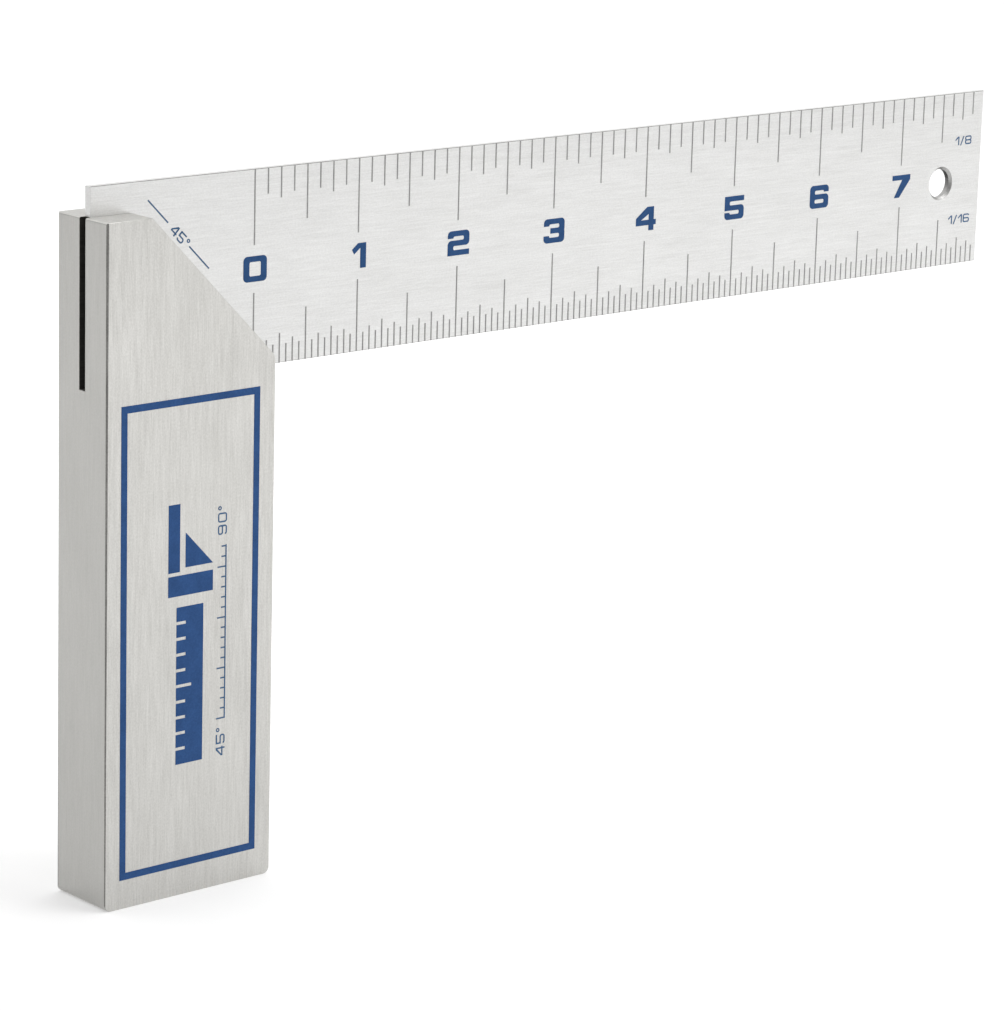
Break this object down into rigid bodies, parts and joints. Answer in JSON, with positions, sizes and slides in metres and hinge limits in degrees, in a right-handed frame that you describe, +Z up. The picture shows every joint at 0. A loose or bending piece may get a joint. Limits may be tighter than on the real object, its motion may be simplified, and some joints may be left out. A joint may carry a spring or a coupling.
{
  "type": "try square",
  "caption": "Try square: a graduated steel blade set at right angles in a thick slotted aluminium stock, with a mitred shoulder for 45 degrees and a hanging hole.",
  "frame": {"origin": "the inside corner: the stock's inner face is the plane X = 0, the blade's lower edge is Z = 0, and Y = 0 is the middle of the thickness", "axes": "+X along the blade away from the stock, +Z up across the blade towards its upper edge, +Y out of the plain back; the graduated front faces -Y"},
  "size_m": [0.2424, 0.0156, 0.1379],
  "materials": {
    "stock_aluminium": "straight brushed along the stock, satin",
    "blade_steel": "fine straight brushed along the blade, satin",
    "rivet_aluminium": "dressed flush and brushed over with the stock",
    "graduation_fill": "matt grey marking ink in fine lines",
    "numeral_ink": "matt blue printing ink",
    "border_ink": "matt blue printing ink",
    "fine_ink": "matt grey blue printing ink"
  },
  "bodies": {
    "root": {"stock": "stock_aluminium", "blade": "blade_steel", "blade_rivet_1": "rivet_aluminium", "blade_rivet_2": "rivet_aluminium", "blade_rivet_3": "rivet_aluminium", "eighth_inch_marks": "graduation_fill", "sixteenth_inch_marks": "graduation_fill", "numeral_0": "numeral_ink", "numeral_1": "numeral_ink", "numeral_2": "numeral_ink", "numeral_3": "numeral_ink", "numeral_4": "numeral_ink", "numeral_5": "numeral_ink", "numeral_6": "numeral_ink", "numeral_7": "numeral_ink", "eighths_label": "fine_ink", "sixteenths_label": "fine_ink", "angle_label": "fine_ink", "border_frame": "border_ink", "square_emblem": "border_ink", "angle_line": "fine_ink"}
  },
  "joints": []
}
